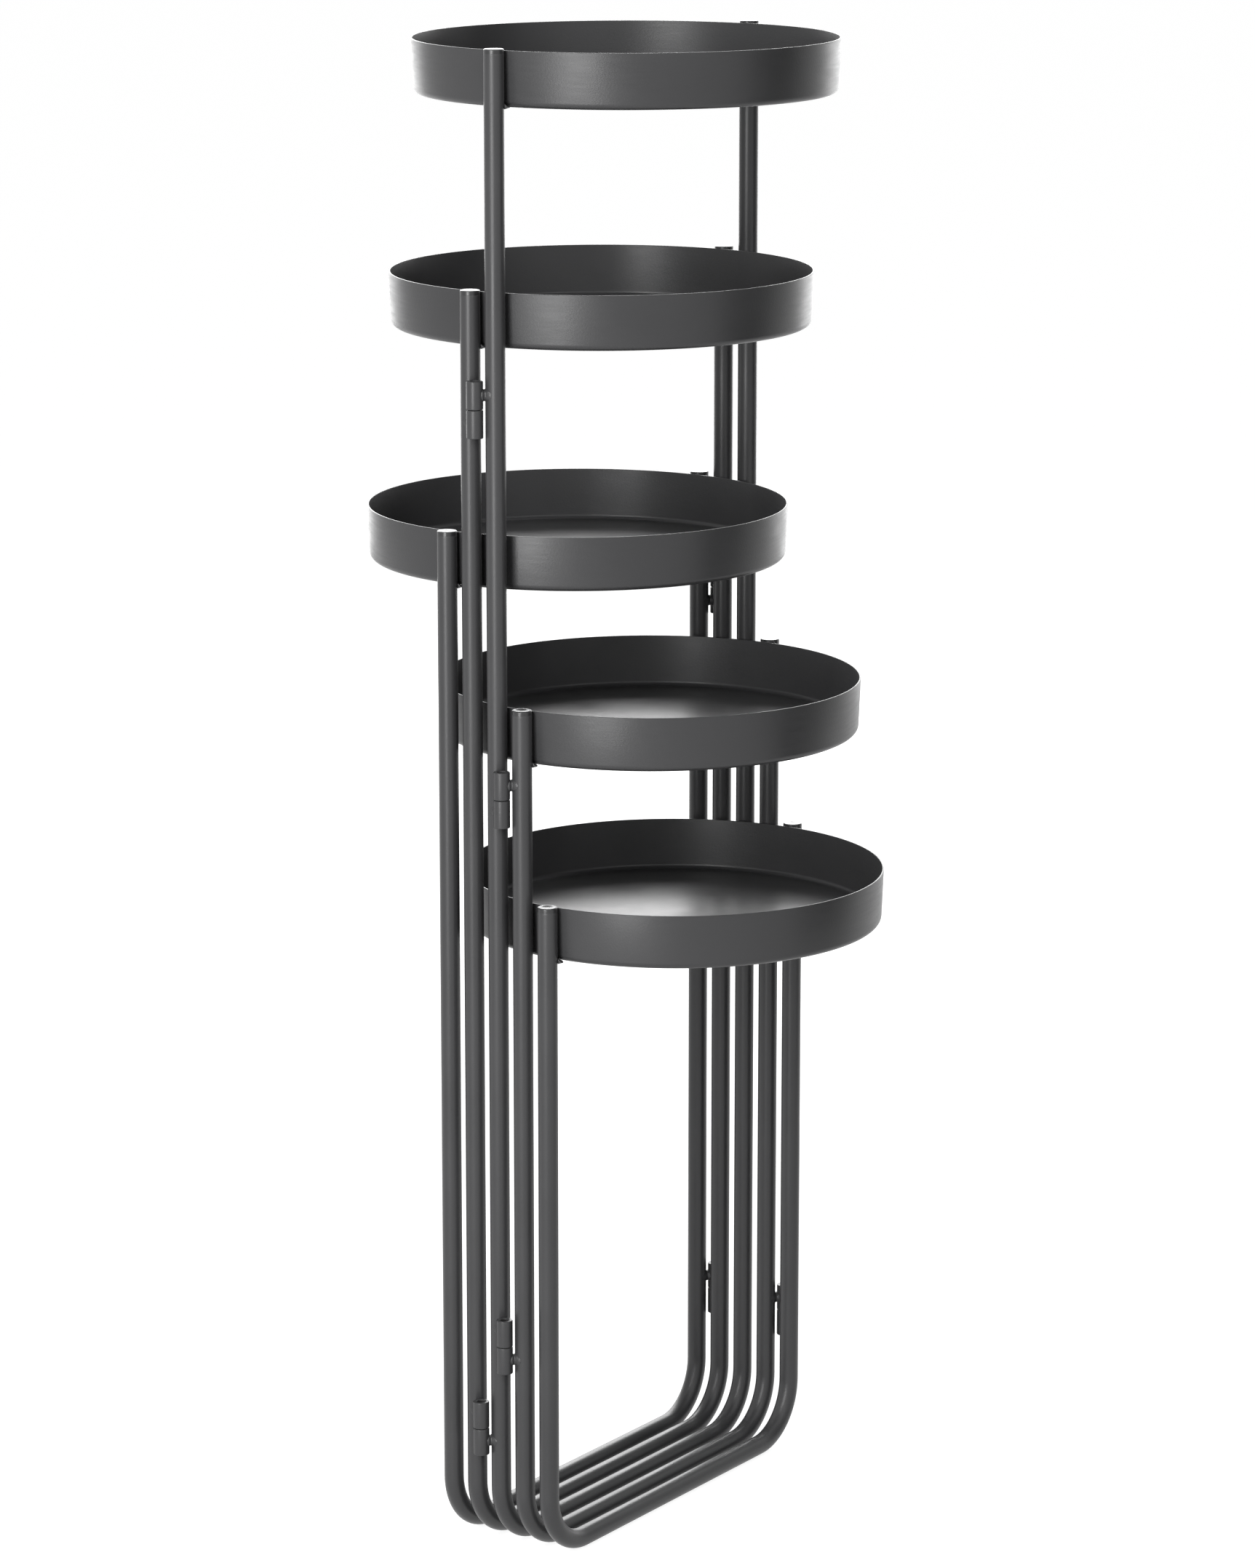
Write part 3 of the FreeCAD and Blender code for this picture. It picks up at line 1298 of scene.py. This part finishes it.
@dataclass
class Studio:
    """Pale floor, even white surround, soft lamps and one dark card, in metres and degrees."""

    floor_radius: float = 14.0
    floor_segments: int = 96
    floor_colour: str = "#9c9c9c"
    floor_lift: float = 0.88
    surround: float = 0.35
    card_size: Pair = (0.75, 1.7)
    card_azimuth: float = 118.0
    card_distance: float = 1.3
    card_colour: str = "#1c1c1c"
    aim_height: float = 0.5
    lamps: tuple[Softbox, ...] = (
        Softbox("front softbox", 9.0, 10.0, 2.1, (0.75, 1.65), 38.0),
        Softbox("fill softbox", 58.0, 30.0, 2.6, (1.5, 1.0), 6.0),
        Softbox("high front softbox", 4.0, 38.0, 2.4, (0.35, 0.35), 14.0),
        Softbox("back softbox", 222.0, 27.0, 3.0, (2.4, 1.3), 58.0),
        Softbox("low back softbox", 210.0, 6.0, 2.5, (4.6, 1.4), 50.0),
    )

    def background_ray(self, tree: bpy.types.NodeTree) -> bpy.types.NodeSocket:
        """Socket that is one for rays that show the background as it is.

        Args:
            tree: Shader tree of the floor or the world.

        Returns:
            One for camera, glossy and transmission rays, otherwise zero.
        """
        path = add_node(tree, "ShaderNodeLightPath")
        seen = path.outputs["Is Camera Ray"]
        for kind in ("Is Glossy Ray", "Is Transmission Ray"):
            seen = add_node(
                tree, "ShaderNodeMath", {0: seen, 1: path.outputs[kind]}, operation="MAXIMUM"
            ).outputs[0]
        return seen

    def build_world(self) -> None:
        """Surround the stand with even light that the background rays see as plain white."""
        world = bpy.data.worlds.new("white surround")
        world.use_nodes = True
        tree = world.node_tree
        tree.nodes.clear()
        white = add_node(tree, "ShaderNodeBackground", {"Color": linear("#ffffff")})
        light = add_node(
            tree,
            "ShaderNodeBackground",
            {"Color": linear("#ffffff"), "Strength": self.surround},
        )
        either = add_node(
            tree,
            "ShaderNodeMixShader",
            {
                "Fac": self.background_ray(tree),
                1: light.outputs["Background"],
                2: white.outputs["Background"],
            },
        )
        add_node(tree, "ShaderNodeOutputWorld", {"Surface": either.outputs["Shader"]})
        bpy.context.scene.world = world

    def build_floor(self) -> bpy.types.Object:
        """Lay the floor, which takes the stand's shadow.

        Its glow shows only to the background rays, so it looks white and lights nothing.

        Returns:
            The floor.
        """
        shape = bmesh.new()
        bmesh.ops.create_circle(
            shape, cap_ends=True, segments=self.floor_segments, radius=self.floor_radius
        )
        mesh = bpy.data.meshes.new("floor")
        shape.to_mesh(mesh)
        shape.free()
        floor = link_object("floor", mesh)
        material, tree = new_material("matt white floor")
        matt = add_node(tree, "ShaderNodeBsdfDiffuse", {"Color": linear(self.floor_colour)})
        lift = add_node(
            tree,
            "ShaderNodeEmission",
            {"Color": linear("#ffffff"), "Strength": self.floor_lift},
        )
        both = add_node(
            tree, "ShaderNodeAddShader", {0: matt.outputs["BSDF"], 1: lift.outputs["Emission"]}
        )
        shown = add_node(
            tree,
            "ShaderNodeMixShader",
            {
                "Fac": self.background_ray(tree),
                1: matt.outputs["BSDF"],
                2: both.outputs["Shader"],
            },
        )
        add_node(tree, "ShaderNodeOutputMaterial", {"Surface": shown.outputs["Shader"]})
        mesh.materials.append(material)
        return floor

    def side_card(self) -> bpy.types.Object:
        """Stand a dark card beside the stand, which keeps its right flank from washing out.

        Returns:
            The card.
        """
        shape = bmesh.new()
        across, up = self.card_size
        bmesh.ops.create_grid(shape, x_segments=1, y_segments=1, size=0.5)
        away = bearing(self.card_azimuth)
        turn = away.to_track_quat("Z", "Y").to_matrix().to_4x4()
        place = Matrix.Translation(away * self.card_distance + Vector((0.0, 0.0, up / 2)))
        size = Matrix.Diagonal((across, up, 1.0, 1.0))
        bmesh.ops.transform(shape, matrix=place @ turn @ size, verts=shape.verts)
        mesh = bpy.data.meshes.new("side card")
        shape.to_mesh(mesh)
        shape.free()
        card = link_object("side card", mesh)
        material, tree = new_material("black flocked card")
        matt = add_node(tree, "ShaderNodeBsdfDiffuse", {"Color": linear(self.card_colour)})
        add_node(tree, "ShaderNodeOutputMaterial", {"Surface": matt.outputs["BSDF"]})
        mesh.materials.append(material)
        card.visible_camera = False
        return card

    def build(self) -> None:
        """Set up the whole studio."""
        self.build_world()
        self.build_floor()
        for lamp in self.lamps:
            lamp.hang(Vector((0.0, 0.0, self.aim_height)))
        self.side_card()


@dataclass
class PhotoCamera:
    """Camera at the photograph's angle, from a fit to the stand's edges.

    Angles are in degrees.  The focal length and the principal point are in the photograph's
    pixels, the sensor in millimetres, and the clip distances in metres.
    """

    position: tuple[float, float, float] = (1.7557, -2.5613, 1.1524)
    yaw: float = -34.722
    pitch: float = 12.393
    roll: float = -0.066
    focal_pixels: float = 7083.6
    principal_point: Pair = (825.0, 1053.0)
    sensor: float = 36.0
    clip: Pair = (0.1, 100.0)

    def build(self) -> bpy.types.Object:
        """Set up the camera and make it the scene's.

        Returns:
            The camera.
        """
        data = bpy.data.cameras.new("photo camera")
        data.sensor_width = self.sensor
        data.lens = self.focal_pixels / PHOTO_HEIGHT * self.sensor
        data.shift_x = (PHOTO_WIDTH / 2 - self.principal_point[0]) / PHOTO_HEIGHT
        data.shift_y = (self.principal_point[1] - PHOTO_HEIGHT / 2) / PHOTO_HEIGHT
        data.clip_start, data.clip_end = self.clip
        camera = link_object("photo camera", data)
        turn = Euler(
            (math.radians(90 - self.pitch), 0.0, math.radians(-self.yaw)), "XYZ"
        ).to_matrix()
        camera.matrix_world = Matrix.Translation(self.position) @ (
            turn @ Matrix.Rotation(math.radians(self.roll), 3, "Z")
        ).to_4x4()
        bpy.context.scene.camera = camera
        return camera


def main() -> None:
    """Build every piece in order, then the studio and the camera."""
    logging.basicConfig(level=logging.INFO, format="%(message)s")
    coats = finishes()
    tubes = BentTubes(coats[Slot.TUBE])
    trays = Trays(coats[Slot.SHEET])
    caps = PlugCaps(coats[Slot.PLASTIC])
    beads = WeldBeads(coats[Slot.WELD])
    for which in Frame:
        tubes.build(which)
        trays.build(which)
        for side in Side:
            caps.build(which, side)
        for kind in Weld:
            beads.build(which, kind)
    hinges = BarrelHinges(coats[Slot.TUBE], coats[Slot.PIN])
    hinges.build(frame["record"]["behaviour"]["bodies"])
    Studio().build()
    PhotoCamera().build()
    bpy.context.scene.view_settings.view_transform = "Standard"


if __name__ == "__main__":
    main()
